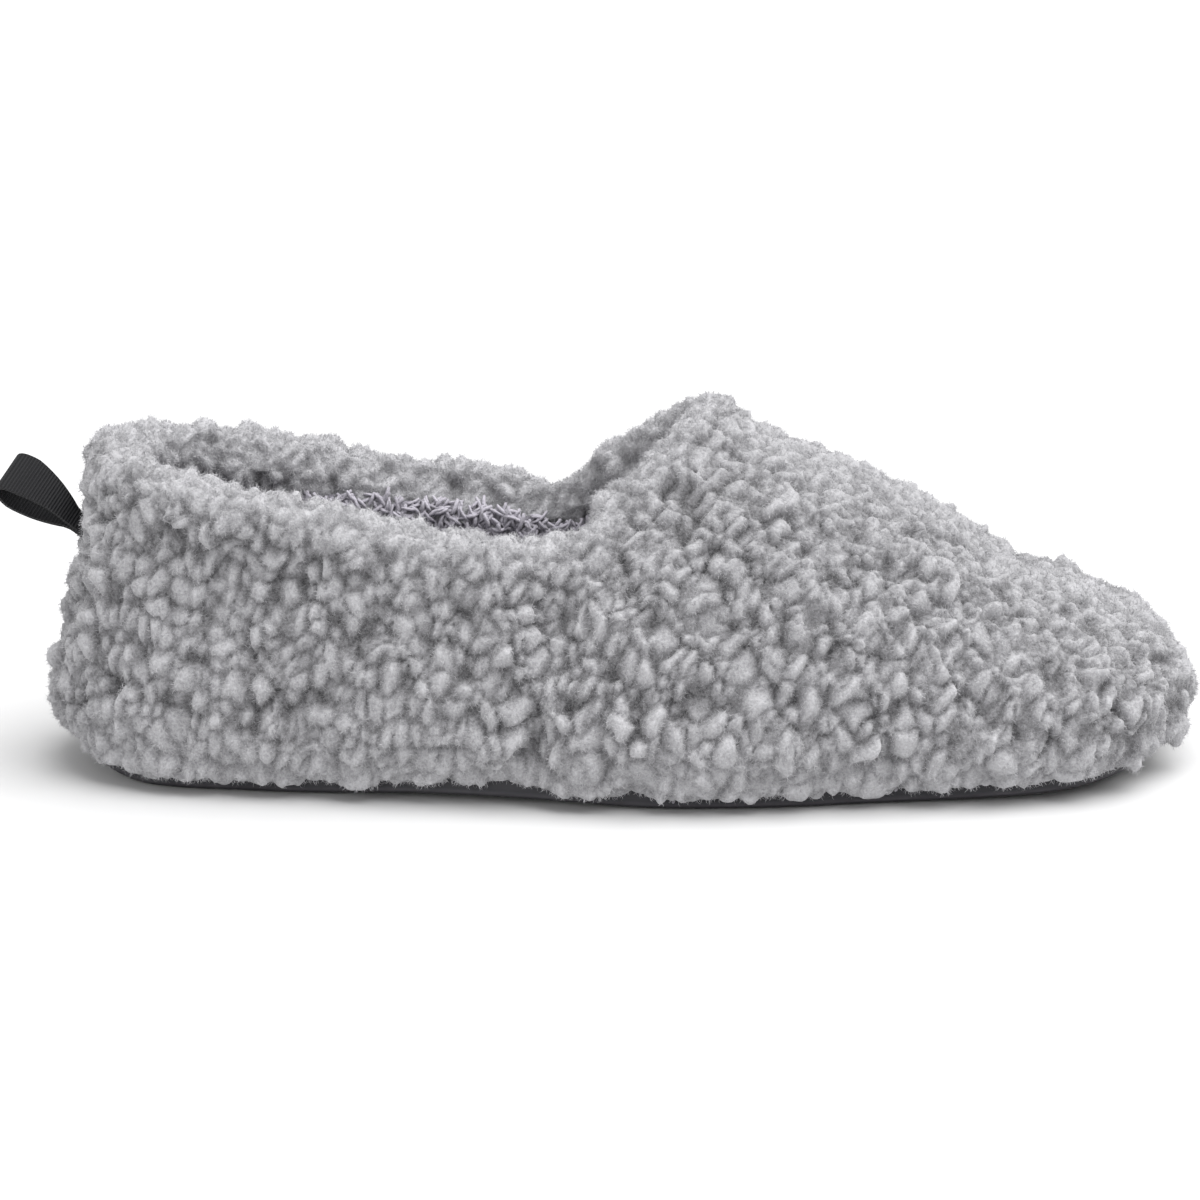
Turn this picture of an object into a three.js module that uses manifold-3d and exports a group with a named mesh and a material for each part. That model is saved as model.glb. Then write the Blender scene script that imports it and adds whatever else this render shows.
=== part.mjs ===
// Curly-fleece house slipper, right foot, in millimetres, with +X to the toe and +Z up.
// The origin lies on the floor under the middle of the heel seat.
import * as THREE from "three";
import Module from "manifold-3d";

const wasm = await Module();
wasm.setup();

// Main sizes
const SOLE_LENGTH = 262;
const SOLE_BACK = 31; // sole behind the middle of the heel seat
const BALL_HALF = 47; // half the sole's width at the ball
const SOLE_THICK = 6.5;
const SOLE_EDGE = 2.4; // rounding of the sole's lower edge
const SOLE_DRAFT = 0.6; // lean of the sole's side
const TOE_SPRING = 4.2;
const HEEL_LIFT = 5.4; // lift at the very back of the heel
const ARCH_LIFT = 1.6;
const INSTEP = 86; // crown of the vamp at the throat, under the curls

// Upper
const OVERHANG = 5; // fleece ground outside the sole's edge
const WALL = 8; // backing, lining and fleece ground together
const WIDEST = 14; // height of the widest line
const SKIRT = 4.1; // height of the fleece's lower edge
const SKIRT_TUCK = 2.4; // the lower edge lies this much inside the widest line
const TIP_CURL = 18; // half width below which the toe and heel curl up to their tips
const SEAT_INSET = 3.5; // inner edge of the wall's foot, inside the sole's edge
const GAP = 0.3; // clearance between pieces

// Fleece curls
const CURL_PITCH = 9;
const CURL_RISE = 3.2;
const LOBE_RISE = 1.6; // extra rise of the hanging locks along the lower edge

// Turned-in cuff
const CUFF_THICK = 10.5;
const CUFF_DEEP = 14;

// Side seam between vamp and quarter
const SEAM_AT = 79; // place of the seam at half height
const SEAM_LEAN = 10; // forward lean from the sole to the notch
const SEAM_DEEP = 3.4;
const SEAM_WIDE = 4;

// Footbed
const INSOLE_THICK = 5;
const INSOLE_CUP = 2; // rise of the footbed's edge at the heel

// Pull loop
const TAPE_WIDE = 10.5;
const TAPE_THICK = 1.1;
const TAPE_PINCH = 4.6; // width where the ends are sewn in
const LOOP_LONG = 29;
const LOOP_OPEN = 4.6; // half the room between the two runs
const LOOP_SEWN = 10; // length held in the seam and the fleece
const LOOP_ROOT = new THREE.Vector3(-21.5, -6, 0.635 * INSTEP);
const LOOP_RUN = new THREE.Vector3(-0.8, 0, 0.6);
const LOOP_EDGE = new THREE.Vector3(0.44, 0.62, 0.6);

// Sole outline, a row for each section: place along the sole's length, then half width and
// sideways offset as shares of BALL_HALF
const SOLE_ROWS = [
  { at: 0.0, half: 0.61, side: 0.02 },
  { at: 0.118, half: 0.625, side: 0.01 },
  { at: 0.195, half: 0.665, side: -0.02 },
  { at: 0.29, half: 0.71, side: -0.075 },
  { at: 0.385, half: 0.765, side: -0.135 },
  { at: 0.48, half: 0.847, side: -0.145 },
  { at: 0.576, half: 0.95, side: -0.075 },
  { at: 0.653, half: 0.985, side: -0.025 },
  { at: 0.729, half: 0.975, side: 0.015 },
  { at: 0.805, half: 0.968, side: 0.017 },
  { at: 0.9, half: 0.957, side: 0.043 },
  { at: 1.0, half: 0.936, side: 0.064 },
];
const HEEL_ROUND = 0.135; // rounded ends of the outline, as shares of the sole's length
const TOE_ROUND = 0.141;

// Underside, a row for each change: place along the sole, lift as a share of the named lift
const LIFT_ROWS = [
  { at: 0.0, heel: 1, arch: 0, toe: 0 },
  { at: 0.07, heel: 0, arch: 0, toe: 0 },
  { at: 0.175, heel: 0, arch: 0, toe: 0 },
  { at: 0.36, heel: 0, arch: 1, toe: 0 },
  { at: 0.56, heel: 0, arch: 0, toe: 0 },
  { at: 0.7, heel: 0, arch: 0, toe: 0 },
  { at: 0.8, heel: 0, arch: 0, toe: 0.14 },
  { at: 0.88, heel: 0, arch: 0, toe: 0.34 },
  { at: 1.0, heel: 0, arch: 0, toe: 1 },
];

// Upper outside, a row for each section: place along the upper's length, height of the crown as a
// share of INSTEP, and fullness of the arch. Behind the throat the crown is cut away by the mouth.
const CROWN_ROWS = [
  { at: 0.0, crown: 0.17, full: 2.2 },
  { at: 0.004, crown: 0.25, full: 2.2 },
  { at: 0.011, crown: 0.37, full: 2.2 },
  { at: 0.024, crown: 0.495, full: 2.25 },
  { at: 0.038, crown: 0.685, full: 2.3 },
  { at: 0.052, crown: 0.885, full: 2.35 },
  { at: 0.07, crown: 1.02, full: 2.4 },
  { at: 0.103, crown: 1.12, full: 2.4 },
  { at: 0.17, crown: 1.2, full: 2.4 },
  { at: 0.3, crown: 1.21, full: 2.3 },
  { at: 0.445, crown: 1.08, full: 1.65 },
  { at: 0.52, crown: 1.0, full: 1.75 },
  { at: 0.588, crown: 0.945, full: 1.95 },
  { at: 0.64, crown: 0.88, full: 2.1 },
  { at: 0.71, crown: 0.79, full: 2.1 },
  { at: 0.78, crown: 0.675, full: 2.1 },
  { at: 0.85, crown: 0.53, full: 2.15 },
  { at: 0.92, crown: 0.44, full: 2.2 },
  { at: 0.956, crown: 0.385, full: 2.2 },
  { at: 0.98, crown: 0.335, full: 2.2 },
  { at: 0.993, crown: 0.275, full: 2.2 },
  { at: 1.0, crown: 0.19, full: 2.2 },
];

// Topline, the top of the cuff's roll, from the back round one side to the throat: place along the
// upper's length, height as a share of INSTEP, half width as a share of BALL_HALF
const TOPLINE_ROWS = [
  { at: 0.075, height: 0.905, half: 0 },
  { at: 0.095, height: 0.89, half: 0.34 },
  { at: 0.135, height: 0.865, half: 0.55 },
  { at: 0.217, height: 0.83, half: 0.64 },
  { at: 0.305, height: 0.76, half: 0.67 },
  { at: 0.392, height: 0.72, half: 0.69 },
  { at: 0.453, height: 0.7, half: 0.6 },
  { at: 0.485, height: 0.79, half: 0.42 },
  { at: 0.522, height: 0.878, half: 0.29 },
  { at: 0.55, height: 0.935, half: 0.155 },
  { at: 0.56, height: 0.95, half: 0 },
];

const UPPER_LENGTH = SOLE_LENGTH + 2 * OVERHANG;
const UPPER_BACK = SOLE_BACK + OVERHANG;
const FOOTBED_BASE = SOLE_THICK + GAP;

// Value of a table's column at a place, running smoothly through the rows without overshoot
function read(rows, column, at) {
  const place = Math.min(Math.max(at, rows[0].at), rows[rows.length - 1].at);
  let i = 0;
  while (i < rows.length - 2 && place > rows[i + 1].at) i += 1;
  const slope = (k) => (rows[k + 1][column] - rows[k][column]) / (rows[k + 1].at - rows[k].at);
  const tangent = (k) => {
    if (k === 0 || k === rows.length - 1) return slope(Math.min(k, rows.length - 2));
    const before = slope(k - 1);
    const after = slope(k);
    return before * after <= 0 ? 0 : (2 * before * after) / (before + after);
  };
  const span = rows[i + 1].at - rows[i].at;
  const t = (place - rows[i].at) / span;
  const ends = [rows[i][column], rows[i + 1][column]];
  const rise = (ends[1] - ends[0]) * t * t * (3 - 2 * t);
  const lean = span * t * (1 - t) * ((1 - t) * tangent(i) - t * tangent(i + 1));
  return ends[0] + rise + lean;
}

// Closing of an outline towards its two ends, 1 along the middle and 0 at the tips
function closing(at) {
  const heel = Math.min(at / HEEL_ROUND, 1);
  const toe = Math.min((1 - at) / TOE_ROUND, 1);
  const arc = (share) => Math.sqrt(Math.max(0, 1 - (1 - share) ** 2));
  return arc(heel) * arc(toe);
}

// Height of the sole's underside
function lift(x) {
  const at = (x + SOLE_BACK) / SOLE_LENGTH;
  const heel = HEEL_LIFT * read(LIFT_ROWS, "heel", at);
  const arch = ARCH_LIFT * read(LIFT_ROWS, "arch", at);
  return heel + arch + TOE_SPRING * read(LIFT_ROWS, "toe", at);
}

// Plan of the shoe at x, grown past the sole's edge by a margin: half width and sideways offset
function plan(x, margin) {
  const at = (x + SOLE_BACK + margin) / (SOLE_LENGTH + 2 * margin);
  const half = BALL_HALF * read(SOLE_ROWS, "half", at) + margin;
  return { half: half * closing(at), side: BALL_HALF * read(SOLE_ROWS, "side", at) };
}

// Section of the upper's outside at x, drawn in by a depth: widest line, crown and fullness
function section(x, depth) {
  const at = (x + UPPER_BACK) / UPPER_LENGTH;
  const grown = (x + UPPER_BACK - depth) / (UPPER_LENGTH - 2 * depth);
  const base = lift(x) + WIDEST;
  const { half, side } = plan(x, OVERHANG - depth);
  const outside = INSTEP * read(CROWN_ROWS, "crown", at) - base;
  const inside = INSTEP * read(CROWN_ROWS, "crown", grown) - base - depth;
  return {
    half,
    side,
    base,
    rise: Math.max(depth > 0 ? Math.min(outside - depth / 2, inside) : outside, 0.4),
    full: read(CROWN_ROWS, "full", at),
  };
}

// Point of the arch over a section, turn running from 0 at the near side to 1 at the far side
function archPoint(x, cut, turn) {
  const angle = Math.PI * turn;
  const power = 2 / cut.full;
  const across = Math.abs(Math.cos(angle)) ** power * Math.sign(-Math.cos(angle));
  const up = Math.abs(Math.sin(angle)) ** power;
  const y = cut.side * (1 - up) + cut.half * across;
  return new THREE.Vector3(x, y, cut.base + cut.rise * up);
}

// Places along X spread evenly over the outline of a form, both tips left out
function stations(from, to, count, depth) {
  const fine = 1600;
  const travelled = [0];
  let last = null;
  for (let i = 0; i <= fine; i += 1) {
    const x = from + ((to - from) * i) / fine;
    const cut = section(x, depth);
    const here = new THREE.Vector3(x, cut.half, cut.rise);
    if (last) travelled.push(travelled[i - 1] + here.distanceTo(last));
    last = here;
  }
  const places = [];
  let i = 0;
  for (let k = 1; k < count; k += 1) {
    while (travelled[i] < (travelled[fine] * k) / count) i += 1;
    places.push(from + ((to - from) * i) / fine);
  }
  return places;
}

// Closed skin over rings of equal point count. Open runs get a tip or a flat end.
function skin(rings, looped = false, tips = []) {
  const count = rings[0].length;
  const points = rings.flat();
  const faces = [];
  const last = looped ? rings.length : rings.length - 1;
  for (let i = 0; i < last; i += 1) {
    const next = (i + 1) % rings.length;
    for (let j = 0; j < count; j += 1) {
      const turn = (j + 1) % count;
      const [a, b] = [i * count + j, i * count + turn];
      const [c, d] = [next * count + turn, next * count + j];
      if ((i + j) % 2) faces.push([a, b, c], [a, c, d]);
      else faces.push([a, b, d], [b, c, d]);
    }
  }
  const middle = (ring) =>
    ring.reduce((sum, p) => sum.add(p), new THREE.Vector3()).divideScalar(ring.length);
  if (!looped) {
    const ends = [rings[0], rings[rings.length - 1]];
    ends.forEach((ring, end) => {
      const start = end ? (rings.length - 1) * count : 0;
      points.push(tips[end] ?? middle(ring));
      for (let j = 0; j < count; j += 1) {
        const edge = [start + j, start + ((j + 1) % count)];
        faces.push([points.length - 1, ...(end ? edge : edge.reverse())]);
      }
    });
  }
  return solid(points, faces);
}

// Solid from points and triangles, turned to face outwards
function solid(points, faces) {
  let volume = 0;
  for (const [a, b, c] of faces) {
    volume += points[a].dot(new THREE.Vector3().crossVectors(points[b], points[c]));
  }
  const order = volume > 0 ? faces.flat() : faces.flatMap(([a, b, c]) => [a, c, b]);
  const mesh = new wasm.Mesh({
    numProp: 3,
    vertProperties: new Float32Array(points.flatMap((p) => p.toArray())),
    triVerts: new Uint32Array(order),
  });
  return new wasm.Manifold(mesh);
}

// Solid from a library geometry
function solidOf(geometry) {
  const place = geometry.getAttribute("position");
  const points = [];
  const seen = new Map();
  const faces = [];
  const corner = (i) => {
    const p = new THREE.Vector3().fromBufferAttribute(place, i);
    const key = p.toArray().map((v) => Math.round(v * 1000)).join(" ");
    if (!seen.has(key)) {
      seen.set(key, points.length);
      points.push(p);
    }
    return seen.get(key);
  };
  const index = geometry.getIndex();
  const total = index ? index.count : place.count;
  for (let i = 0; i < total; i += 3) {
    const face = [i, i + 1, i + 2].map((k) => corner(index ? index.getX(k) : k));
    if (new Set(face).size === 3) faces.push(face);
  }
  return solid(points, faces);
}

// Repeatable scatter between 0 and 1 for a cell of the fleece
function scatter(i, j, k) {
  const mixed = Math.sin(i * 127.1 + j * 311.7 + k * 74.7) * 43758.5453;
  return mixed - Math.floor(mixed);
}

// Height of the curls at a point, 1 on top of a curl and 0 in the crease between curls
function curl(point, pitch) {
  const cell = point.toArray().map((v) => Math.floor(v / pitch));
  let nearest = Infinity;
  for (let n = 0; n < 27; n += 1) {
    const at = [(n % 3) - 1, (Math.floor(n / 3) % 3) - 1, Math.floor(n / 9) - 1];
    const [i, j, k] = at.map((step, axis) => cell[axis] + step);
    const heart = new THREE.Vector3(
      (i + 0.5 + 0.8 * (scatter(i, j, k) - 0.5)) * pitch,
      (j + 0.5 + 0.8 * (scatter(j, k, i) - 0.5)) * pitch,
      (k + 0.5 + 0.8 * (scatter(k, i, j) - 0.5)) * pitch,
    );
    nearest = Math.min(nearest, heart.distanceTo(point));
  }
  return Math.max(0, 1 - (nearest / (0.72 * pitch)) ** 2);
}

// Outward direction of the upper's outside near a point
function outward(point) {
  const depth = (p) => {
    const cut = section(p.x, 0);
    const up = Math.max(p.z - cut.base, 0) / cut.rise;
    const across = Math.abs(p.y - cut.side * (1 - Math.min(up, 1))) / Math.max(cut.half, 0.5);
    return across ** cut.full + up ** cut.full;
  };
  const step = 0.5;
  const along = (dx, dy, dz) => {
    const move = new THREE.Vector3(dx, dy, dz).multiplyScalar(step);
    return depth(point.clone().add(move)) - depth(point.clone().sub(move));
  };
  return new THREE.Vector3(along(1, 0, 0), along(0, 1, 0), along(0, 0, 1)).normalize();
}

// Depth of the seam channel at a point of the side
function seamChannel(point) {
  const lean = (SEAM_LEAN * (point.z - WIDEST * 2)) / (INSTEP / 2);
  const away = (point.x - SEAM_AT - lean) / SEAM_WIDE;
  return SEAM_DEEP * Math.exp(-away * away);
}

// Outside of the upper: an arch over each station, its skirt tucked in under the widest line, with
// the curls raised on it
function fleeceBody() {
  const from = -UPPER_BACK;
  const to = UPPER_LENGTH - UPPER_BACK;
  const around = 46;
  const rings = stations(from, to, 64, 0).map((x) => {
    const cut = section(x, 0);
    const blunt = Math.sqrt(1 - (1 - Math.min(1, cut.half / TIP_CURL)) ** 2);
    const low = cut.base - (WIDEST - SKIRT) * blunt;
    const tuck = Math.min(SKIRT_TUCK, cut.half / 3);
    const ring = [];
    for (let j = 0; j <= around; j += 1) ring.push(archPoint(x, cut, j / around));
    const foot = (share, z) => {
      const y = cut.side + share * (cut.half - tuck);
      ring.push(new THREE.Vector3(x, y, z));
    };
    foot(1.03, (low + cut.base) / 2);
    foot(0.98, low);
    foot(0.8, low + 0.6 * blunt);
    foot(-0.8, low + 0.6 * blunt);
    foot(-0.98, low);
    foot(-1.03, (low + cut.base) / 2);
    return ring;
  });
  const grown = rings.map((ring) =>
    ring.map((p, j) => {
      if (j === around + 3 || j === around + 4) return p;
      const skirt = j > around;
      const out = outward(p);
      if (skirt) out.set(out.x, Math.sign(p.y - section(p.x, 0).side), -0.35).normalize();
      const lobe = j < 3 || j > around - 3 ? LOBE_RISE : 0;
      const rise = (CURL_RISE + lobe) * curl(p, CURL_PITCH) - seamChannel(p);
      const calm = Math.min(1, 0.3 + plan(p.x, OVERHANG).half / TIP_CURL);
      return p.clone().addScaledVector(out, calm * (skirt ? rise * 0.7 : rise));
    }),
  );
  const tip = (x, reach) => new THREE.Vector3(x + reach, plan(x, OVERHANG).side, lift(x) + WIDEST);
  return skin(grown, false, [tip(from, -CURL_RISE / 2), tip(to, CURL_RISE * 0.8)]);
}

// Places along the foot shared by the room inside and the footbed in it
function footStations() {
  const margin = OVERHANG - WALL;
  return stations(-SOLE_BACK - margin, SOLE_LENGTH - SOLE_BACK + margin, 28, WALL);
}

// Room inside the upper, running out through the bottom where the sole closes it
function footRoom() {
  const around = 18;
  const rings = footStations().map((x) => {
    const cut = section(x, WALL);
    const seat = Math.max(plan(x, -SEAT_INSET).half, 0.3) || 0.3;
    const ring = [];
    for (let j = 0; j <= around; j += 1) ring.push(archPoint(x, cut, j / around));
    const foot = (y, z) => ring.push(new THREE.Vector3(x, cut.side + y, z));
    foot(Math.min(seat, cut.half), lift(x) + FOOTBED_BASE + 1);
    foot(Math.min(seat, cut.half), -SOLE_THICK);
    foot(-Math.min(seat, cut.half), -SOLE_THICK);
    foot(-Math.min(seat, cut.half), lift(x) + FOOTBED_BASE + 1);
    return ring;
  });
  return skin(rings);
}

// Topline as a closed curve round the mouth
function topline() {
  const place = (row, hand) => {
    const x = row.at * UPPER_LENGTH - UPPER_BACK;
    return new THREE.Vector3(x, hand * row.half * BALL_HALF, row.height * INSTEP);
  };
  const near = TOPLINE_ROWS.map((row) => place(row, -1));
  const far = TOPLINE_ROWS.slice(1, -1).reverse().map((row) => place(row, 1));
  return new THREE.CatmullRomCurve3([...near, ...far], true, "centripetal");
}

// Fleece turned in over the topline: a rolled band along the mouth
function cuff() {
  const line = topline();
  const steps = 76;
  const around = 10;
  const above = new THREE.Vector3(40, 0, 3 * INSTEP);
  const rings = [];
  for (let i = 0; i < steps; i += 1) {
    const top = line.getPointAt(i / steps);
    const along = line.getTangentAt(i / steps);
    const out = outward(top);
    out.addScaledVector(along, -out.dot(along)).normalize();
    const up = new THREE.Vector3().crossVectors(along, out);
    if (up.dot(above.clone().sub(top)) < 0) up.negate();
    const heart = top.clone().addScaledVector(up, -CUFF_DEEP / 2);
    const ring = [];
    for (let j = 0; j < around; j += 1) {
      const angle = (2 * Math.PI * (j + 0.5 * (i % 2))) / around;
      const side = new THREE.Vector3().addScaledVector(out, Math.cos(angle) * 0.5 * CUFF_THICK);
      side.addScaledVector(up, Math.sin(angle) * 0.5 * CUFF_DEEP);
      const p = heart.clone().add(side);
      ring.push(p.addScaledVector(side.clone().normalize(), CURL_RISE * 0.8 * curl(p, CURL_PITCH)));
    }
    rings.push(ring);
  }
  return skin(rings, true);
}

// Cutter for the mouth: everything above the topline, let down to the middle of the cuff
function mouth() {
  const line = topline();
  const half = [];
  for (let i = 0; i <= 30; i += 1) {
    const p = line.getPointAt(i / 60);
    const t = line.getTangentAt(i / 60);
    const run = new THREE.Vector2(t.x, t.z);
    if (run.length() < 0.2) run.set(i < 15 ? 1 : 0.7, i < 15 ? 0 : 0.7);
    run.normalize();
    half.push(new THREE.Vector2(p.x, p.z).addScaledVector({ x: run.y, y: -run.x }, CUFF_DEEP / 2));
  }
  const first = half[0];
  const final = half[half.length - 1];
  const shape = new THREE.Shape([
    new THREE.Vector2(first.x - 60, first.y + 2),
    ...half,
    new THREE.Vector2(final.x + 30, final.y + 60),
    new THREE.Vector2(first.x - 60, final.y + 60),
  ]);
  const block = new THREE.ExtrudeGeometry(shape, { depth: 3 * BALL_HALF, bevelEnabled: false });
  block.rotateX(Math.PI / 2);
  block.translate(0, 1.5 * BALL_HALF, 0);
  return solidOf(block);
}

// Sole, grown all round by a clearance when it is used as a cutter
function soleBody(grow = 0) {
  const from = -SOLE_BACK - grow;
  const to = SOLE_LENGTH - SOLE_BACK + grow;
  const rings = [];
  const count = 46;
  for (let i = 1; i < count; i += 1) {
    const turn = (Math.PI * i) / count;
    const even = i / count;
    const x = from + (to - from) * (0.45 * (0.5 - 0.5 * Math.cos(turn)) + 0.55 * even);
    const { half, side } = plan(x, grow);
    const floor = lift(x) - grow;
    const top = lift(x) + SOLE_THICK + grow;
    const edge = Math.min(SOLE_EDGE, half * 0.6);
    const ring = [];
    const put = (y, z) => ring.push(new THREE.Vector3(x, side + y, z));
    for (const hand of [1, -1]) {
      const run = [
        [half - edge, floor],
        [half - edge * 0.45, floor + edge * 0.2],
        [half - edge * 0.1, floor + edge * 0.62],
        [half, floor + edge + grow],
        [half - SOLE_DRAFT * 0.5, top - 0.5],
        [half - SOLE_DRAFT - 0.3, top],
      ];
      if (hand < 0) run.reverse();
      for (const [y, z] of run) put(hand * y, z);
    }
    rings.push(ring);
  }
  return skin(rings);
}

// Plush footbed, cupped a little at the heel
function insoleBody() {
  const inset = -SEAT_INSET - 2 * GAP;
  const from = -SOLE_BACK - inset;
  const to = SOLE_LENGTH - SOLE_BACK + inset;
  const rings = [];
  const places = footStations().filter((place) => place > from + 1 && place < to - 1);
  places[0] += 2 * GAP;
  places[places.length - 1] -= 2 * GAP;
  for (const x of places) {
    const { half, side } = plan(x, inset);
    const floor = lift(x) + FOOTBED_BASE;
    const cup = INSOLE_CUP * Math.max(0, 1 - Math.max(x, 0) / 90);
    const ring = [];
    for (const [share, z] of [
      [1, floor],
      [1, floor + INSOLE_THICK * 0.6 + cup],
      [0.9, floor + INSOLE_THICK + cup * 0.8],
      [0.45, floor + INSOLE_THICK + cup * 0.15],
      [0, floor + INSOLE_THICK],
      [-0.45, floor + INSOLE_THICK + cup * 0.15],
      [-0.9, floor + INSOLE_THICK + cup * 0.8],
      [-1, floor + INSOLE_THICK * 0.6 + cup],
      [-1, floor],
    ]) {
      ring.push(new THREE.Vector3(x, side + share * half, z));
    }
    rings.push(ring);
  }
  return skin(rings);
}

// Axes of the pull loop: along the run, across between the runs, and along the tape's width
function loopAxes() {
  const run = LOOP_RUN.clone().normalize();
  const across = new THREE.Vector3().crossVectors(LOOP_EDGE, run).normalize();
  const edge = new THREE.Vector3().crossVectors(run, across).normalize();
  return { run, across, edge };
}

// Webbing folded into a loop, its two ends side by side in the back seam
function loopBody() {
  const { run, across, edge } = loopAxes();
  const shut = TAPE_THICK / 2 + GAP / 2;
  const middle = [
    [0, shut],
    [0.12, shut],
    [LOOP_SEWN / LOOP_LONG, shut * 1.1],
    [0.47, LOOP_OPEN * 0.6],
    [0.62, LOOP_OPEN * 0.96],
    [0.8, LOOP_OPEN],
    [0.93, LOOP_OPEN * 0.7],
    [0.985, LOOP_OPEN * 0.3],
  ];
  const place = ([share, out], hand) => new THREE.Vector3(share * LOOP_LONG, hand * out, 0);
  const path = new THREE.CatmullRomCurve3([
    ...middle.map((row) => place(row, -1)),
    ...middle.reverse().map((row) => place(row, 1)),
  ]);
  const rings = [];
  const steps = 40;
  for (let i = 0; i <= steps; i += 1) {
    const p = path.getPoint(i / steps);
    const t = path.getTangent(i / steps);
    const flat = new THREE.Vector3(-t.y, t.x, 0).normalize().multiplyScalar(TAPE_THICK / 2);
    const open = Math.min(1, Math.max(0, (p.x - LOOP_SEWN) / (LOOP_LONG * 0.5)));
    const wide = (TAPE_PINCH + (TAPE_WIDE - TAPE_PINCH) * open) / 2;
    const ring = [];
    for (const [face, end] of [[-1, -1], [1, -1], [1, 1], [-1, 1]]) {
      const q = p.clone().addScaledVector(flat, face);
      const world = LOOP_ROOT.clone().addScaledVector(run, q.x).addScaledVector(across, q.y);
      ring.push(world.addScaledVector(edge, end * wide));
    }
    rings.push(ring);
  }
  return skin(rings);
}

// Pocket in the back seam for the loop's two ends
function loopPocket() {
  const { run, across, edge } = loopAxes();
  const long = LOOP_SEWN + 1;
  const block = new THREE.BoxGeometry(long, 2 * TAPE_THICK + 4 * GAP, TAPE_PINCH + 2 * GAP);
  block.translate(long / 2 - GAP, 0, 0);
  block.applyMatrix4(new THREE.Matrix4().makeBasis(run, across, edge));
  block.translate(...LOOP_ROOT.toArray());
  return solidOf(block);
}

// Upper: fleece body opened at the mouth and hollowed, cuff fused on, seated on the sole
function upperBody() {
  const shell = fleeceBody()
    .subtract(mouth())
    .subtract(footRoom())
    .add(cuff())
    .subtract(soleBody(GAP))
    .subtract(loopPocket());
  // Slivers left where the cuff meets the wall are dropped
  return shell.decompose().sort((a, b) => b.volume() - a.volume())[0];
}

// Finished mesh of a solid, named, with its own material
function piece(name, body, colour, roughness) {
  const { vertProperties, triVerts, numProp } = body.getMesh();
  const geometry = new THREE.BufferGeometry();
  const place = [];
  for (let i = 0; i < vertProperties.length; i += numProp) {
    place.push(...vertProperties.subarray(i, i + 3));
  }
  geometry.setAttribute("position", new THREE.Float32BufferAttribute(place, 3));
  geometry.setIndex([...triVerts]);
  geometry.computeVertexNormals();
  const material = new THREE.MeshStandardMaterial({ color: colour, roughness, metalness: 0 });
  const mesh = new THREE.Mesh(geometry, material);
  mesh.name = name;
  return mesh;
}

const slipper = new THREE.Group();
slipper.name = "slipper";
slipper.add(piece("outsole", soleBody(), 0x48474c, 0.75));
slipper.add(piece("insole", insoleBody(), 0x9c9aa1, 0.95));
slipper.add(piece("upper", upperBody(), 0xa8a7ab, 0.95));
slipper.add(piece("pull_loop", loopBody(), 0x2b2b2f, 0.8));

export default slipper;
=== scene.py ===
import math

import bmesh
import bpy
import numpy as np
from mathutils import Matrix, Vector, kdtree


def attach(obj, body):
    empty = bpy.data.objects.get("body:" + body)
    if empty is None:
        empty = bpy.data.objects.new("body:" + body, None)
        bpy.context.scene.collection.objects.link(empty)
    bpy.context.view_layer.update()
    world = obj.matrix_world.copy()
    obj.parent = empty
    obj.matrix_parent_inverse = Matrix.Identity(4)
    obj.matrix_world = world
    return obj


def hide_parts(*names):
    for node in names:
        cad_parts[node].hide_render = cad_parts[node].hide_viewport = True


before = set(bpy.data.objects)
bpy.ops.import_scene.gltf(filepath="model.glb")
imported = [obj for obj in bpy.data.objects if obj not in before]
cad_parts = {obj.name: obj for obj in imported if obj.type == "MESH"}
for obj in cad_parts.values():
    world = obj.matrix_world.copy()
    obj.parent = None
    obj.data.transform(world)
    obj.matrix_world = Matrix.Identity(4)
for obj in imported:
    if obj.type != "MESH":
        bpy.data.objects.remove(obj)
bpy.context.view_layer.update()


# Outsole: one thin moulding of charcoal rubber, smooth on its side, with its lower edge rounded.
# It is cemented under the fleece upper, which bulges over its rim.
# The colour is paler in cloud-noise patches along the lower edge, where the side faces down and
# out.
SOLE_CHARCOAL = (0.032, 0.031, 0.036, 1)
SOLE_LOWER_EDGE_PALE = (0.085, 0.083, 0.092, 1)
SOLE_GLOSSY, SOLE_DULL = 0.42, 0.66


def merged_copy(node, name):
    shape = bmesh.new()
    shape.from_mesh(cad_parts[node].data)
    bmesh.ops.remove_doubles(shape, verts=shape.verts, dist=1e-5)
    mesh = bpy.data.meshes.new(name)
    shape.to_mesh(mesh)
    shape.free()
    mesh.materials.clear()
    made = bpy.data.objects.new(name, mesh)
    bpy.context.scene.collection.objects.link(made)
    return made


def fabric_nodes(name):
    material = bpy.data.materials.new(name)
    material.use_nodes = True
    tree = material.node_tree
    shader = tree.nodes["Principled BSDF"]
    place = tree.nodes.new("ShaderNodeTexCoord")
    return material, tree, shader, place


def noise_node(tree, place, scale, detail=3.0, rough=0.6):
    grain = tree.nodes.new("ShaderNodeTexNoise")
    grain.inputs["Scale"].default_value = scale
    grain.inputs["Detail"].default_value = detail
    grain.inputs["Roughness"].default_value = rough
    tree.links.new(place.outputs["Object"], grain.inputs["Vector"])
    return grain


def ramp_node(tree, source, stops):
    ramp = tree.nodes.new("ShaderNodeValToRGB")
    while len(ramp.color_ramp.elements) < len(stops):
        ramp.color_ramp.elements.new(0.5)
    for element, (at, colour) in zip(ramp.color_ramp.elements, stops):
        element.position = at
        element.color = colour
    tree.links.new(source, ramp.inputs["Fac"])
    return ramp


def bump_node(tree, shader, height, strength, distance):
    bump = tree.nodes.new("ShaderNodeBump")
    bump.inputs["Strength"].default_value = strength
    bump.inputs["Distance"].default_value = distance
    tree.links.new(height, bump.inputs["Height"])
    tree.links.new(bump.outputs["Normal"], shader.inputs["Normal"])
    return bump


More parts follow.
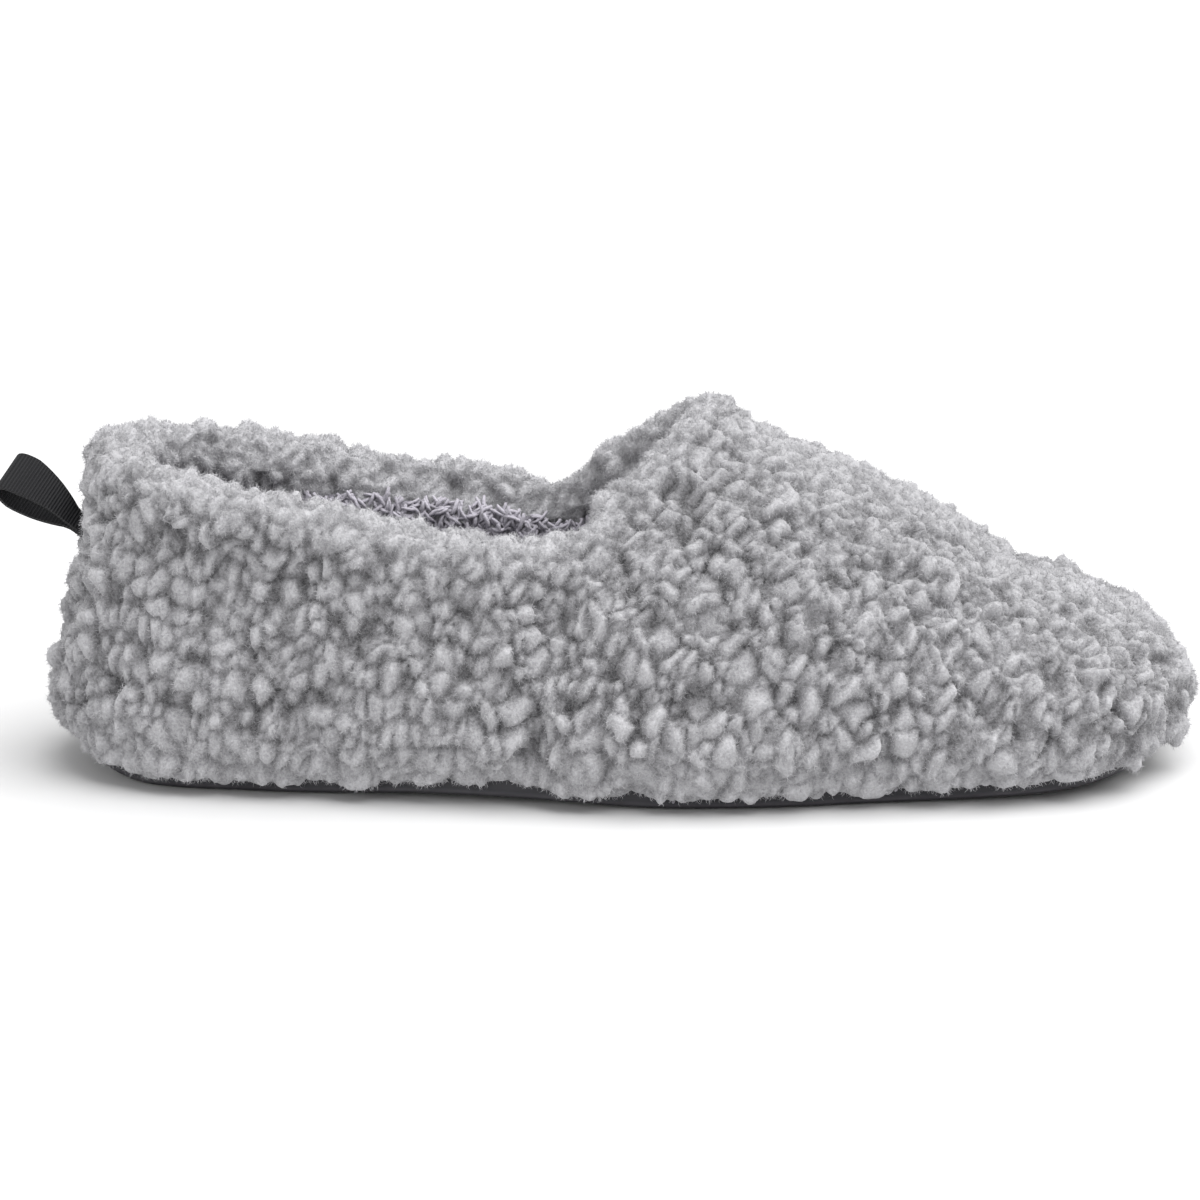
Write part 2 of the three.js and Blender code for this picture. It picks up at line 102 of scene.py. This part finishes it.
def store(mesh, name, values):
    layer = mesh.attributes.new(name, "FLOAT", "POINT")
    layer.data.foreach_set("value", np.asarray(values, dtype=np.float32))


sole = merged_copy("outsole", "outsole_moulding")
rounding = sole.modifiers.new("rounding", "SUBSURF")
rounding.levels = rounding.render_levels = 1
sole.data.polygons.foreach_set("use_smooth", [True] * len(sole.data.polygons))
facing = np.array([v.normal[:] for v in sole.data.vertices])
store(sole.data, "lower_edge", np.clip(1 - np.abs(facing[:, 2] + 0.45) / 0.35, 0, 1))

rubber, tree, shader, place = fabric_nodes("charcoal_rubber")
cloud = noise_node(tree, place, 60, 4)
grain = noise_node(tree, place, 2600, 2)
edge_reader = tree.nodes.new("ShaderNodeAttribute")
edge_reader.attribute_name = "lower_edge"
# Paler patches along the lower edge: the edge mask times cloud noise.
edge_patches = tree.nodes.new("ShaderNodeMath")
edge_patches.operation = "MULTIPLY"
tree.links.new(edge_reader.outputs["Fac"], edge_patches.inputs[0])
tree.links.new(cloud.outputs["Fac"], edge_patches.inputs[1])
shade = ramp_node(tree, edge_patches.outputs[0], [(0.1, SOLE_CHARCOAL), (0.62, SOLE_LOWER_EDGE_PALE)])
tree.links.new(shade.outputs["Color"], shader.inputs["Base Color"])
gloss = tree.nodes.new("ShaderNodeMapRange")
gloss.inputs["To Min"].default_value = SOLE_GLOSSY
gloss.inputs["To Max"].default_value = SOLE_DULL
tree.links.new(cloud.outputs["Fac"], gloss.inputs["Value"])
tree.links.new(gloss.outputs["Result"], shader.inputs["Roughness"])
shader.inputs["Specular IOR Level"].default_value = 0.35
bump_node(tree, shader, grain.outputs["Fac"], 0.25, 0.0002)
sole.data.materials.append(rubber)
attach(sole, "root")
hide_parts("outsole")


# Footbed: a foam board under short mauve-grey plush, cut to the inside of the upper and laid on
# the sole. Its pile stands in small soft lumps.
# The darkest plush colour is painted shade for the hollows between lumps, and the lightest is
# painted light on the lump tops.
PLUSH_HOLLOW_SHADE = (0.13, 0.122, 0.142, 1)
PLUSH_MID = (0.27, 0.26, 0.29, 1)
PLUSH_LIT_TOP = (0.40, 0.385, 0.425, 1)
PLUSH_MESH = 0.0016
LUMP_PITCH, LUMP_RISE = 0.0034, 0.0009


def remesh(made, voxel):
    knit = made.modifiers.new("knit", "REMESH")
    knit.mode = "VOXEL"
    knit.voxel_size = voxel
    graph = bpy.context.evaluated_depsgraph_get()
    mesh = bpy.data.meshes.new_from_object(made.evaluated_get(graph))
    made.modifiers.clear()
    made.data = mesh


def points_of(mesh):
    flat = np.empty(len(mesh.vertices) * 3)
    mesh.vertices.foreach_get("co", flat)
    return flat.reshape(-1, 3)


def normals_of(mesh):
    flat = np.empty(len(mesh.vertices) * 3)
    mesh.vertices.foreach_get("normal", flat)
    return flat.reshape(-1, 3)


def move_to(mesh, points):
    mesh.vertices.foreach_set("co", points.ravel())
    mesh.update()


def relax(mesh, rounds, pull=0.5):
    flat = np.empty(len(mesh.edges) * 2, dtype=np.int64)
    mesh.edges.foreach_get("vertices", flat)
    a, b = flat.reshape(-1, 2).T
    points = points_of(mesh)
    count = np.bincount(a, minlength=len(points)) + np.bincount(b, minlength=len(points))
    for _ in range(rounds):
        total = np.zeros_like(points)
        for axis in range(3):
            total[:, axis] += np.bincount(a, points[b, axis], len(points))
            total[:, axis] += np.bincount(b, points[a, axis], len(points))
        points += pull * (total / np.maximum(count, 1)[:, None] - points)
    move_to(mesh, points)


def cells(points, pitch, seed):
    """Distances to the two nearest of a scatter of curl centres, and the nearest's own chance."""
    chance = np.random.default_rng(seed)
    low = points.min(0) - 2 * pitch
    count = np.ceil((points.max(0) + 2 * pitch - low) / pitch).astype(int)
    grid = np.stack(np.meshgrid(*[np.arange(n) for n in count], indexing="ij"), -1).reshape(-1, 3)
    hearts = low + (grid + 0.5 + chance.uniform(-0.42, 0.42, grid.shape)) * pitch
    tree = kdtree.KDTree(len(hearts))
    for i, heart in enumerate(hearts):
        tree.insert(heart, i)
    tree.balance()
    first, second = np.empty(len(points)), np.empty(len(points))
    who = np.empty(len(points), dtype=int)
    for i, p in enumerate(points):
        (_, who[i], first[i]), (_, _, second[i]) = tree.find_n(p, 2)
    return first / pitch, second / pitch, chance.random(len(hearts))[who]


footbed = merged_copy("insole", "footbed_plush")
remesh(footbed, PLUSH_MESH)
relax(footbed.data, 2)
spots = points_of(footbed.data)
near, beside, own = cells(spots, LUMP_PITCH, 11)
lump = np.clip((beside - near) / 0.5, 0, 1) ** 0.7
up = normals_of(footbed.data)
rise = (lump - 0.75) * LUMP_RISE * (up[:, 2] > 0.2)
move_to(footbed.data, spots + up * rise[:, None])
# Lump tops are painted lighter and the hollows between them darker, as painted light and shade;
# each lump also adds its own random tone.
store(footbed.data, "tone", 0.35 + 0.4 * lump + 0.25 * (own - 0.5))
footbed.data.polygons.foreach_set("use_smooth", [True] * len(footbed.data.polygons))


def pile_material(name, dark, mid, light, fine=1350):
    material, tree, shader, place = fabric_nodes(name)
    tone = tree.nodes.new("ShaderNodeAttribute")
    tone.attribute_name = "tone"
    fuzz = noise_node(tree, place, fine, 3, 0.7)
    cloud = noise_node(tree, place, 45, 2)
    mixed = tree.nodes.new("ShaderNodeMath")
    mixed.operation = "MULTIPLY_ADD"
    mixed.inputs[1].default_value = 0.85
    tree.links.new(fuzz.outputs["Fac"], mixed.inputs[0])
    tree.links.new(tone.outputs["Fac"], mixed.inputs[2])
    second = tree.nodes.new("ShaderNodeMath")
    second.operation = "MULTIPLY_ADD"
    second.inputs[1].default_value = 0.16
    tree.links.new(cloud.outputs["Fac"], second.inputs[0])
    tree.links.new(mixed.outputs[0], second.inputs[2])
    settled = tree.nodes.new("ShaderNodeMath")
    settled.operation = "MULTIPLY_ADD"
    settled.inputs[1].default_value = 0.7
    settled.inputs[2].default_value = -0.13
    tree.links.new(second.outputs[0], settled.inputs[0])
    shade = ramp_node(tree, settled.outputs[0], [(0.185, dark), (0.5, mid), (0.82, light)])
    tree.links.new(shade.outputs["Color"], shader.inputs["Base Color"])
    shader.inputs["Roughness"].default_value = 0.95
    shader.inputs["Specular IOR Level"].default_value = 0.15
    shader.inputs["Sheen Weight"].default_value = 0.25
    shader.inputs["Sheen Roughness"].default_value = 0.5
    bump_node(tree, shader, fuzz.outputs["Fac"], 0.9, 0.0005)
    return material


footbed.data.materials.append(
    pile_material("mauve_plush", PLUSH_HOLLOW_SHADE, PLUSH_MID, PLUSH_LIT_TOP)
)
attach(footbed, "root")
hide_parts("insole")


# Upper: curly fleece on a soft backing, two quarters and a vamp sewn at the side seams and closed
# at the back. It is turned in and stitched down along the topline, and it hangs over the sole.
# The darkest fleece colour is painted shade for the crevices between curls, and the lightest is
# painted light on the curl tops.
FLEECE_CREVICE_SHADE = (0.075, 0.074, 0.077, 1)
FLEECE_MID = (0.285, 0.283, 0.294, 1)
FLEECE_LIT_TOP = (0.54, 0.536, 0.555, 1)
FLEECE_MESH = 0.00096
TURNED_IN, TURNED_MORE_AT_HEEL = 0.0120, 0.006
CURL_PITCH, CURL_RISE = 0.0046, 0.0032
TUFT_PITCH, TUFT_RISE = 0.0082, 0.0020
CRIMP_PITCH, CRIMP_RISE = 0.0024, 0.0006
PILE_SUNK = 0.0036
TOPLINE = [
    (-0.0156, 0.0778, 0.0), (-0.0102, 0.0765, 0.0160), (0.0007, 0.0744, 0.0259),
    (0.0230, 0.0714, 0.0301), (0.0470, 0.0654, 0.0315), (0.0706, 0.0619, 0.0324),
    (0.0872, 0.0602, 0.0282), (0.0959, 0.0679, 0.0197), (0.1060, 0.0755, 0.0136),
    (0.1136, 0.0804, 0.0073), (0.1163, 0.0817, 0.0),
]
# Soft troughs pressed in: side seams, back seam, toe crease. Start, end, half width, depth
TROUGHS = [
    ((0.0868, -0.036, 0.066), (0.0822, -0.045, 0.051), 0.0018, 0.0030),
    ((0.0822, -0.045, 0.051), (0.0790, -0.050, 0.030), 0.0018, 0.0022),
    ((0.0790, -0.050, 0.030), (0.0760, -0.049, 0.008), 0.0018, 0.0012),
    ((0.0868, 0.032, 0.066), (0.0822, 0.036, 0.051), 0.0018, 0.0030),
    ((0.0822, 0.036, 0.051), (0.0790, 0.038, 0.030), 0.0018, 0.0022),
    ((0.0790, 0.038, 0.030), (0.0760, 0.036, 0.008), 0.0018, 0.0012),
    ((-0.0260, 0.0, 0.070), (-0.0330, 0.0, 0.035), 0.0022, 0.0020),
    ((-0.0330, 0.0, 0.035), (-0.0370, 0.0, 0.012), 0.0022, 0.0014),
    ((0.2085, -0.043, 0.0270), (0.2210, -0.030, 0.0300), 0.0020, 0.0012),
    ((0.1180, -0.030, 0.066), (0.1420, -0.044, 0.038), 0.0060, 0.0012),
]


def stretched(spot):
    """Curls hang longer near the sole: heights are squeezed there before curls are scattered."""
    moved = spot.copy()
    moved[:, 2] = 0.92 * spot[:, 2] - 0.42 * 0.022 * (1 - np.exp(-spot[:, 2] / 0.022))
    chance = np.random.default_rng(17)
    for turn in chance.normal(size=(8, 3)) * 420:
        drift = chance.normal(size=3) * 0.00042
        moved += np.sin(spot @ turn + chance.uniform(0, 6.3))[:, None] * drift
    return moved


def to_line(spots, rows):
    line = kdtree.KDTree(len(rows))
    for i, row in enumerate(rows):
        line.insert(row, i)
    line.balance()
    return np.array([line.find(p)[2] for p in spots])


def inside_facing(spots, facing):
    middle = np.stack(
        [
            np.clip(spots[:, 0], -0.004, 0.20),
            np.full(len(spots), -0.002),
            np.interp(spots[:, 0], [0.0, 0.1, 0.2], [0.036, 0.034, 0.021]),
        ],
        -1,
    )
    return ((middle - spots) * facing).sum(-1) > 0


def keep_faces(mesh, keep):
    shape = bmesh.new()
    shape.from_mesh(mesh)
    shape.verts.ensure_lookup_table()
    gone = [v for v, kept in zip(shape.verts, keep) if not kept]
    bmesh.ops.delete(shape, geom=gone, context="VERTS")
    shape.to_mesh(mesh)
    shape.free()
    mesh.update()


near_side = np.array([(x, -y, z) for x, z, y in TOPLINE])
far_side = near_side[::-1] * (1, -1, 1)
ring = np.concatenate([near_side, far_side])
ring_points = np.concatenate(
    [a + (b - a) * t for a, b in zip(ring[:-1], ring[1:]) for t in np.linspace(0, 1, 12)[:, None]]
).reshape(-1, 3)

def turned_depth(spots):
    """How far below the rim the turned-in fleece ends: deeper round the heel."""
    return TURNED_IN + TURNED_MORE_AT_HEEL * np.clip((0.045 - spots[:, 0]) / 0.030, 0, 1)


fleece = merged_copy("upper", "fleece_upper")
remesh(fleece, FLEECE_MESH)
relax(fleece.data, 9)
spots, facing = points_of(fleece.data), normals_of(fleece.data)
rim = to_line(spots, ring_points)
keep_faces(fleece.data, ~(inside_facing(spots, facing) & (rim > turned_depth(spots) + 0.002)))
spots, facing = points_of(fleece.data), normals_of(fleece.data)
rim = to_line(spots, ring_points)

placed = stretched(spots)
near, beside, own = cells(placed, CURL_PITCH, 3)
crease = np.clip((beside - near) / 0.40, 0, 1)
nub = np.clip(1 - (near / 0.84) ** 2, 0, 1) ** 0.55 * (0.3 + 0.7 * crease**0.5)
near, beside, tuft_own = cells(placed, TUFT_PITCH, 5)
parted = 0.5 + 0.5 * np.clip((beside - near) / 0.4, 0, 1)
tuft = np.sqrt(np.clip(1 - (near / 0.95) ** 2, 0, 1)) * parted
near, _, _ = cells(placed, CRIMP_PITCH, 7)
crimp = np.clip(1 - (near / 0.8) ** 2, 0, 1)
# The pile is brushed along the turned-in band, the crest of the vamp and the hem over the sole:
# its curls are flatter there and run into each other
band = np.clip(1 - (rim - 0.0060) / 0.008, 0, 1)
crest = np.clip(1 - np.abs(spots[:, 1]) / 0.040, 0, 1)
crest = crest * np.clip((spots[:, 0] - 0.100) / 0.04, 0, 1)
hem = np.clip(1 - (spots[:, 2] - 0.008) / 0.014, 0, 1)
brushed = np.maximum.reduce([band, 0.72 * crest, 0.7 * hem])
brushed = 0.8 * brushed * brushed * (3 - 2 * brushed)
tall = CURL_RISE * nub * (0.65 + 0.7 * own) + TUFT_RISE * tuft * (0.7 + 0.6 * tuft_own)
tall = tall + CRIMP_RISE * crimp
height = (tall - PILE_SUNK) * (1 - (0.45 - 0.25 * band) * brushed)
hollow = np.zeros(len(spots))
for start, end, wide, deep in TROUGHS:
    start, run = np.array(start), np.array(end) - np.array(start)
    along = np.clip(((spots - start) @ run) / (run @ run), 0, 1)
    away = np.linalg.norm(spots - start - along[:, None] * run, axis=1)
    hollow = np.maximum(hollow, deep * np.exp(-((np.maximum(away - 0.001, 0) / wide) ** 2)))
move_to(fleece.data, spots + facing * (height - hollow)[:, None])
relax(fleece.data, 1, 0.4)
# Tone from pile height: curl, tuft and crimp tops are painted lighter and the crevices between them
# darker, as painted light and shade; each curl and tuft also adds its own random tone.
tone = 0.54 * np.clip(nub / 0.8, 0, 1) ** 1.3 + 0.10 * tuft + 0.10 * crimp - 0.09
tone = tone + 0.10 * (own - 0.5) + 0.06 * (tuft_own - 0.5)
# The brushed pile is paler, and its curl and tuft tops are still painted lighter as painted light.
combed_and_lit = 0.42 + 0.08 * band + 0.04 * crest + 0.16 * nub + 0.12 * tuft
# Along the seam and crease troughs the colour is darkened further, as painted shade in the hollows.
tone = tone * (1 - brushed) + combed_and_lit * brushed - hollow / 0.0034 * 0.35
store(fleece.data, "tone", np.clip(tone, 0, 1))
fleece.data.polygons.foreach_set("use_smooth", [True] * len(fleece.data.polygons))
fleece_cloth = pile_material("curly_fleece", FLEECE_CREVICE_SHADE, FLEECE_MID, FLEECE_LIT_TOP)
fleece.data.materials.append(fleece_cloth)
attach(fleece, "root")
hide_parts("upper")


# Lining: mauve-grey shag sewn inside the upper, from under the turned-in band down to the footbed.
# Its thick soft strands lie over each other in all directions.
SHAG_DARK = (0.255, 0.241, 0.276, 1)
SHAG_MID = (0.415, 0.396, 0.446, 1)
SHAG_LIGHT = (0.52, 0.50, 0.555, 1)
LINING_MESH = 0.0018
STRANDS = 6400
STRAND_LONG = (0.0030, 0.0050)
STRAND_RADIUS = (0.00040, 0.00054)
STRAND_LIFT = (0.0003, 0.0024)
RINGS, SIDES = 4, 4

lining = merged_copy("upper", "lining_backing")
remesh(lining, LINING_MESH)
relax(lining.data, 3)
spots, facing = points_of(lining.data), normals_of(lining.data)
rim = to_line(spots, ring_points)
keep_faces(lining.data, inside_facing(spots, facing) & (rim > turned_depth(spots) - 0.003))
store(lining.data, "tone", np.full(len(lining.data.vertices), 0.56))
lining.data.polygons.foreach_set("use_smooth", [True] * len(lining.data.polygons))
shag_cloth = pile_material("mauve_shag", SHAG_DARK, SHAG_MID, SHAG_LIGHT, 1500)
lining.data.materials.append(shag_cloth)
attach(lining, "root")


def scatter_on(mesh, count, seed, weight=None):
    """Random places on a mesh: their points, their normals and the mesh's tone there."""
    mesh.calc_loop_triangles()
    flat = np.empty(len(mesh.loop_triangles) * 3, dtype=np.int64)
    mesh.loop_triangles.foreach_get("vertices", flat)
    corners = flat.reshape(-1, 3)
    points, facing = points_of(mesh), normals_of(mesh)
    tone = np.empty(len(points), dtype=np.float32)
    mesh.attributes["tone"].data.foreach_get("value", tone)
    a, b, c = points[corners[:, 0]], points[corners[:, 1]], points[corners[:, 2]]
    area = np.linalg.norm(np.cross(b - a, c - a), axis=1)
    if weight is not None:
        area = area * weight[corners].mean(1)
    chance = np.random.default_rng(seed)
    pick = chance.choice(len(area), count, p=area / area.sum())
    r, s = chance.random((2, count, 1))
    share = np.concatenate([1 - np.sqrt(r), np.sqrt(r) * (1 - s), np.sqrt(r) * s], 1)[:, :, None]
    where = (points[corners[pick]] * share).sum(1)
    out = (facing[corners[pick]] * share).sum(1)
    out /= np.linalg.norm(out, axis=1)[:, None] + 1e-9
    return where, out, (tone[corners[pick]] * share[:, :, 0]).sum(1)


def joined(name, points, faces, tone, material):
    mesh = bpy.data.meshes.new(name)
    mesh.from_pydata(points.tolist(), [], faces)
    store(mesh, "tone", np.clip(tone, 0, 1))
    mesh.polygons.foreach_set("use_smooth", [True] * len(mesh.polygons))
    mesh.materials.append(material)
    made = bpy.data.objects.new(name, mesh)
    bpy.context.scene.collection.objects.link(made)
    return made


def across(out, chance):
    side = chance.normal(size=out.shape)
    side -= (side * out).sum(1)[:, None] * out
    return side / (np.linalg.norm(side, axis=1)[:, None] + 1e-9)


chance = np.random.default_rng(21)
spots = points_of(lining.data)
seen = 0.04 + 1.0 * (to_line(spots, ring_points) < 0.026) + 0.10 * (spots[:, 0] < 0.150)
root, out, _ = scatter_on(lining.data, STRANDS, 22, seen)
lie = across(out, chance)
turn = np.cross(out, lie)
long = chance.uniform(*STRAND_LONG, (STRANDS, 1))
thick = chance.uniform(*STRAND_RADIUS, (STRANDS, 1))
bend = chance.uniform(-0.4, 0.4, (STRANDS, 1))
lift = chance.uniform(*STRAND_LIFT, (STRANDS, 1))
tip = chance.uniform(-0.2, 0.2, (STRANDS, 1))
strand_points = []
for k in range(RINGS):
    s = k / (RINGS - 1) - 0.5
    spine = root + lie * long * s + turn * long * bend * (s * s - 0.1)
    spine = spine + out * (lift * (1 - 1.2 * s * s) + long * tip * s)
    girth = thick * (1.0 if 0 < k < RINGS - 1 else 0.75)
    for j in range(SIDES):
        angle = 2 * math.pi * j / SIDES
        strand_points.append(spine + (out * math.cos(angle) + turn * math.sin(angle)) * girth)
strand_points = np.stack(strand_points, 1)
strand_faces = []
for k in range(RINGS - 1):
    for j in range(SIDES):
        a, b = k * SIDES + j, k * SIDES + (j + 1) % SIDES
        strand_faces.append((a, b, b + SIDES, a + SIDES))
base = np.arange(STRANDS)[:, None, None] * RINGS * SIDES
walls = (np.array(strand_faces)[None] + base).reshape(-1, 4).tolist()
ends = [list(range(SIDES - 1, -1, -1)), list(range((RINGS - 1) * SIDES, RINGS * SIDES))]
caps = (np.array(ends)[None] + base).reshape(-1, SIDES).tolist()
strand_tone = np.repeat(0.42 + 0.30 * chance.random(STRANDS), RINGS * SIDES)
strands = joined(
    "lining_strands", strand_points.reshape(-1, 3), walls + caps, strand_tone, shag_cloth
)
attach(strands, "root")


# Fleece fibres: the fine crimped ends of the pile, standing over every curl and closest together
# on the turned-in band round the mouth. They soften the outline of the whole upper.
FIBRE_LONG = 0.0014
FIBRE_HALF_WIDE = 0.00005
FIBRE_SUNK = 0.0002


def fibres(name, count, seed, weight, stand, lift_tone):
    chance = np.random.default_rng(seed)
    root, out, tone = scatter_on(fleece.data, count, seed + 1, weight)
    side = across(out, chance)
    lean = chance.uniform(0.25, 1.0, (count, 1))
    first = out * stand + side * lean
    first /= np.linalg.norm(first, axis=1)[:, None]
    second = first * 0.5 + across(out, chance) * 0.7 + out * 0.1
    second[:, 2] -= 0.15
    second /= np.linalg.norm(second, axis=1)[:, None]
    long = FIBRE_LONG * chance.uniform(0.6, 1.3, (count, 1))
    flat = across(first, chance) * FIBRE_HALF_WIDE
    a = root - out * FIBRE_SUNK
    b = root + first * long * 0.5
    c = b + second * long * 0.5
    points = np.stack([a - flat, a + flat, b + flat * 0.9, b - flat * 0.9, c], 1).reshape(-1, 3)
    start = np.arange(count) * 5
    quads = np.stack([start, start + 1, start + 2, start + 3], 1).tolist()
    tips = np.stack([start + 3, start + 2, start + 4], 1).tolist()
    # Each fibre takes the surface tone at its root, with the painted crevice shade and curl-top
    # light in it, and is made lighter towards its tip.
    own = lift_tone + tone + chance.normal(0, 0.05, count)
    tones = np.stack([own, own, own + 0.06, own + 0.06, own + 0.12], 1).ravel()
    made = joined(name, points, quads + tips, tones, fleece_cloth)
    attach(made, "root")


spots = points_of(fleece.data)
rim = to_line(spots, ring_points)
turned = np.clip(1 - (rim - 0.0095) / 0.005, 0, 1)
front = np.clip((spots[:, 0] - 0.100) / 0.01, 0, 1)
above_sole = (spots[:, 2] > 0.004) * 1.0
fibres("fibres_quarters", 60000, 41, (1 - turned) * (1 - front) * above_sole, 0.7, 0.14)
fibres("fibres_vamp", 58000, 43, (1 - turned) * front * above_sole, 0.7, 0.14)
fibres("fibres_turned_band", 60000, 45, turned, 0.6, 0.08)


# Pull loop: black ribbed webbing folded into a loop, its two ends sewn into the back seam. Ribs run
# across the tape, and its edges are a plain woven selvedge.
# The tape's colour is lighter on its rib crests and darker in the grooves between them, in
# weave-noise patches.
LOOP_BLACK = (0.006, 0.006, 0.007, 1)
LOOP_RIB_CREST = (0.018, 0.018, 0.020, 1)
LOOP_RUN = Vector((-0.8, 0, 0.6))
RIB_PITCH = 0.00075

webbing, tree, shader, place = fabric_nodes("black_webbing")
along_tape = tree.nodes.new("ShaderNodeVectorMath")
along_tape.operation = "DOT_PRODUCT"
along_tape.inputs[1].default_value = LOOP_RUN.normalized()
tree.links.new(place.outputs["Object"], along_tape.inputs[0])
wave = tree.nodes.new("ShaderNodeMath")
wave.operation = "MULTIPLY"
wave.inputs[1].default_value = 2 * math.pi / RIB_PITCH
tree.links.new(along_tape.outputs["Value"], wave.inputs[0])
rib = tree.nodes.new("ShaderNodeMath")
rib.operation = "SINE"
tree.links.new(wave.outputs[0], rib.inputs[0])
weave = noise_node(tree, place, 3200, 2)
height = tree.nodes.new("ShaderNodeMath")
height.operation = "MULTIPLY_ADD"
height.inputs[1].default_value = 0.5
tree.links.new(rib.outputs[0], height.inputs[0])
tree.links.new(weave.outputs["Fac"], height.inputs[2])
shade = ramp_node(tree, height.outputs[0], [(0.1, LOOP_BLACK), (0.95, LOOP_RIB_CREST)])
tree.links.new(shade.outputs["Color"], shader.inputs["Base Color"])
shader.inputs["Roughness"].default_value = 0.75
shader.inputs["Specular IOR Level"].default_value = 0.25
bump_node(tree, shader, height.outputs[0], 0.8, 0.0003)
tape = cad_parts["pull_loop"]
tape.data.materials.clear()
tape.data.materials.append(webbing)


# Studio: a plain pale floor under an even pale sky, a wide soft light overhead, a weak one from the
# front left, and the camera at the photograph's angle to the slipper.
FLOOR_PALE = (0.66, 0.66, 0.662, 1)
FLOOR_HALF = 6
SKY_STRENGTH = 0.62

sweep = bmesh.new()
bmesh.ops.create_grid(sweep, x_segments=1, y_segments=1, size=FLOOR_HALF)
paper = bpy.data.meshes.new("backdrop")
sweep.to_mesh(paper)
sweep.free()
floor = bpy.data.objects.new("backdrop", paper)
bpy.context.scene.collection.objects.link(floor)
pale, _, shader, _ = fabric_nodes("pale_paper")
shader.inputs["Base Color"].default_value = FLOOR_PALE
shader.inputs["Roughness"].default_value = 0.9
shader.inputs["Specular IOR Level"].default_value = 0.1
paper.materials.append(pale)

world = bpy.data.worlds.new("studio")
world.use_nodes = True
world.node_tree.nodes["Background"].inputs["Color"].default_value = (1, 1, 1, 1)
world.node_tree.nodes["Background"].inputs["Strength"].default_value = SKY_STRENGTH
bpy.context.scene.world = world


def soft_light(name, kind, towards, spread, power):
    lamp = bpy.data.lights.new(name, kind)
    if kind == "SUN":
        lamp.angle = math.radians(spread)
    else:
        lamp.shape = "DISK"
        lamp.size = spread
    lamp.energy = power
    light = bpy.data.objects.new(name, lamp)
    light.location = Vector((0.1, 0, 0.03)) + Vector(towards)
    light.rotation_euler = (-Vector(towards)).to_track_quat("-Z", "Y").to_euler()
    bpy.context.scene.collection.objects.link(light)


soft_light("overhead", "SUN", (0.50, -0.20, 1.2), 70, 4.0)
soft_light("front_left", "AREA", (-0.8, -1.0, 0.45), 0.7, 4)
bpy.context.scene.view_settings.view_transform = "Standard"

VIEW_HEIGHT, VIEW_TURN, VIEW_FAR = math.radians(15), math.radians(-2), 0.95
lens = bpy.data.cameras.new("camera")
lens.sensor_width = 36
lens.lens = 36 * VIEW_FAR / 0.288
camera = bpy.data.objects.new("camera", lens)
aim = Vector((0.0950, 0, 0.0380))
back = Vector((
    math.sin(VIEW_TURN) * math.cos(VIEW_HEIGHT),
    -math.cos(VIEW_TURN) * math.cos(VIEW_HEIGHT),
    math.sin(VIEW_HEIGHT),
))
camera.location = aim + back * VIEW_FAR
camera.rotation_euler = (-back).to_track_quat("-Z", "Y").to_euler()
bpy.context.scene.collection.objects.link(camera)
bpy.context.scene.camera = camera
